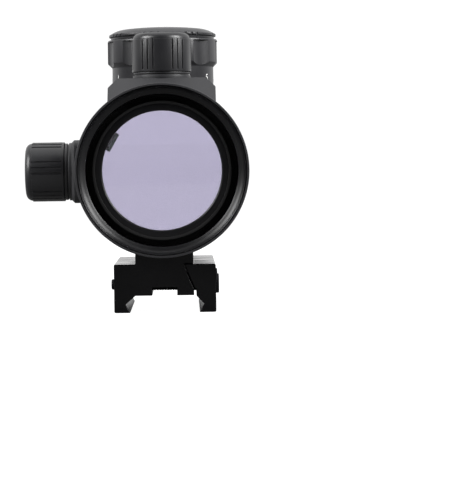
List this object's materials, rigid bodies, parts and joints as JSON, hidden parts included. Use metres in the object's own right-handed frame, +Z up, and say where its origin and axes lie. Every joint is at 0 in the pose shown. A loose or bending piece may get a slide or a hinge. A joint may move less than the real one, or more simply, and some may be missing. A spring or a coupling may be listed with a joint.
{
  "type": "red dot finder",
  "caption": "Tube-type red dot finder: twin bells around an adjustable inner tube, capped turrets for elevation and windage, a brightness dial over its cell, and a rail clamp.",
  "frame": {"origin": "on the optical axis in the plane of the eyepiece rim", "axes": "+Y along the optical axis towards the target, +Z up through the elevation turret, +X to the right of the eye"},
  "size_m": [0.0625, 0.124, 0.0828],
  "materials": {
    "tube_black": "satin black anodised",
    "bezel_black": "satin black anodised",
    "cell_black": "matt black anodised",
    "cap_black": "satin black anodised",
    "dial_black": "satin black anodised",
    "clamp_black": "satin black anodised",
    "coated_glass": "lavender anti-reflection coating",
    "mirror_glass": "dichroic red-reflecting coating",
    "clear_glass": "polished",
    "black_steel": "black oxide",
    "bright_steel": "ground",
    "brass": "turned",
    "spring_steel": "tempered strip",
    "seal_rubber": "nitrile",
    "nylon": "moulded",
    "housing_plastic": "moulded",
    "circuit_board": "solder resist",
    "emitter_red": "clear red epoxy",
    "flex_amber": "polyimide film",
    "cell_steel": "nickel plated",
    "index_white": "filled paint"
  },
  "bodies": {
    "housing": {"main_tube": "tube_black", "eyepiece_bezel": "bezel_black", "eyepiece_cell": "cell_black", "eye_retainer": "bezel_black", "eye_lens": "coated_glass", "eye_gasket": "seal_rubber", "front_bezel": "bezel_black", "front_oring": "seal_rubber", "pivot_retainer": "cell_black", "bias_spring": "spring_steel", "elevation_turret_base": "tube_black", "elevation_adjuster_retainer": "black_steel", "windage_turret_base": "tube_black", "windage_adjuster_retainer": "black_steel", "dial_base": "housing_plastic", "dial_screws": "black_steel", "dial_gasket": "seal_rubber", "dial_clip": "spring_steel", "switch_board": "circuit_board", "detent_ball": "bright_steel", "detent_spring": "spring_steel", "index_dot": "index_white", "mount_base": "clamp_black", "base_screws": "black_steel"},
    "pivot_ring": {"pivot_ring": "nylon"},
    "inner_tube": {"inner_tube": "cell_black", "objective_cell": "cell_black", "objective_lens_rear": "mirror_glass", "objective_lens_front": "clear_glass", "objective_retainer": "cell_black", "led_housing": "housing_plastic", "led_board": "circuit_board", "led_emitter": "emitter_red", "led_flex": "flex_amber"},
    "elevation_adjuster": {"elevation_adjuster": "brass"},
    "elevation_plunger": {"elevation_plunger": "bright_steel"},
    "elevation_cap_seal": {"elevation_cap_oring": "seal_rubber"},
    "elevation_cap": {"elevation_cap": "cap_black"},
    "windage_adjuster": {"windage_adjuster": "brass"},
    "windage_plunger": {"windage_plunger": "bright_steel"},
    "windage_cap_seal": {"windage_cap_oring": "seal_rubber"},
    "windage_cap": {"windage_cap": "cap_black"},
    "brightness_dial": {"brightness_knob": "dial_black", "contact_pin": "brass", "battery_contact": "spring_steel", "battery": "cell_steel"},
    "battery_cap_seal": {"battery_cap_oring": "seal_rubber"},
    "battery_cap": {"battery_cap": "dial_black"},
    "clamp_jaw": {"clamp_jaw": "clamp_black"},
    "clamp_screw_rear": {"clamp_screw_rear": "black_steel"},
    "clamp_screw_front": {"clamp_screw_front": "black_steel"}
  },
  "joints": [
    {"name": "tube_yaw", "type": "hinge", "parent": "housing", "child": "pivot_ring", "pos_m": [0, 0.11, 0], "axis": [0, 0, 1], "range_deg": [-0.82, 0.82]},
    {"name": "tube_pitch", "type": "hinge", "parent": "pivot_ring", "child": "inner_tube", "pos_m": [0, 0.11, 0], "axis": [1, 0, 0], "range_deg": [-0.82, 0.82], "deforming": ["bias_spring"]},
    {"name": "elevation_adjust", "type": "hinge", "parent": "housing", "child": "elevation_adjuster", "pos_m": [0, 0.0365, 0], "axis": [0, 0, 1], "range_deg": [-540, 540]},
    {"name": "elevation_plunger_slide", "type": "slide", "parent": "housing", "child": "elevation_plunger", "axis": [0, 0, 1], "range_m": [-0.00106, 0.00106]},
    {"name": "elevation_cap_lift", "type": "slide", "parent": "housing", "child": "elevation_cap_seal", "axis": [0, 0, 1], "range_m": [0, 0.00301]},
    {"name": "elevation_cap_turn", "type": "hinge", "parent": "elevation_cap_seal", "child": "elevation_cap", "pos_m": [0, 0.0365, 0], "axis": [0, 0, 1], "range_deg": [0, 1080]},
    {"name": "windage_adjust", "type": "hinge", "parent": "housing", "child": "windage_adjuster", "pos_m": [0, 0.0365, 0], "axis": [-1, 0, 0], "range_deg": [-540, 540]},
    {"name": "windage_plunger_slide", "type": "slide", "parent": "housing", "child": "windage_plunger", "axis": [-1, 0, 0], "range_m": [-0.00106, 0.00106]},
    {"name": "windage_cap_lift", "type": "slide", "parent": "housing", "child": "windage_cap_seal", "axis": [-1, 0, 0], "range_m": [0, 0.00301]},
    {"name": "windage_cap_turn", "type": "hinge", "parent": "windage_cap_seal", "child": "windage_cap", "pos_m": [0, 0.0365, 0], "axis": [-1, 0, 0], "range_deg": [0, 1080]},
    {"name": "brightness_turn", "type": "hinge", "parent": "housing", "child": "brightness_dial", "pos_m": [0, 0.068, 0], "axis": [0, 0, 1], "range_deg": [-240, 90]},
    {"name": "battery_cap_lift", "type": "slide", "parent": "brightness_dial", "child": "battery_cap_seal", "axis": [0, 0, 1], "range_m": [0, 0.00201]},
    {"name": "battery_cap_turn", "type": "hinge", "parent": "battery_cap_seal", "child": "battery_cap", "pos_m": [0, 0.068, 0], "axis": [0, 0, 1], "range_deg": [0, 720]},
    {"name": "jaw_slide", "type": "slide", "parent": "housing", "child": "clamp_jaw", "axis": [1, 0, 0], "range_m": [0, 0.00211]},
    {"name": "clamp_screw_rear_turn", "type": "hinge", "parent": "clamp_jaw", "child": "clamp_screw_rear", "pos_m": [0, 0.042, -0.0326], "axis": [1, 0, 0], "range_deg": [0, 1080]},
    {"name": "clamp_screw_front_turn", "type": "hinge", "parent": "clamp_jaw", "child": "clamp_screw_front", "pos_m": [0, 0.074, -0.0326], "axis": [1, 0, 0], "range_deg": [0, 1080]}
  ],
  "couplings": [
    {"joint": "elevation_plunger_slide", "follows": "elevation_adjust", "m_per_rad": 0.00011141},
    {"joint": "tube_pitch", "follows": "elevation_adjust", "ratio": -0.0015158},
    {"joint": "elevation_cap_lift", "follows": "elevation_cap_turn", "m_per_rad": 0.00015915},
    {"joint": "windage_plunger_slide", "follows": "windage_adjust", "m_per_rad": 0.00011141},
    {"joint": "tube_yaw", "follows": "windage_adjust", "ratio": -0.0015158},
    {"joint": "windage_cap_lift", "follows": "windage_cap_turn", "m_per_rad": 0.00015915},
    {"joint": "battery_cap_lift", "follows": "battery_cap_turn", "m_per_rad": 0.00015915},
    {"joint": "jaw_slide", "follows": "clamp_screw_rear_turn", "m_per_rad": 0.00011141},
    {"joint": "clamp_screw_front_turn", "follows": "clamp_screw_rear_turn", "ratio": 1}
  ]
}
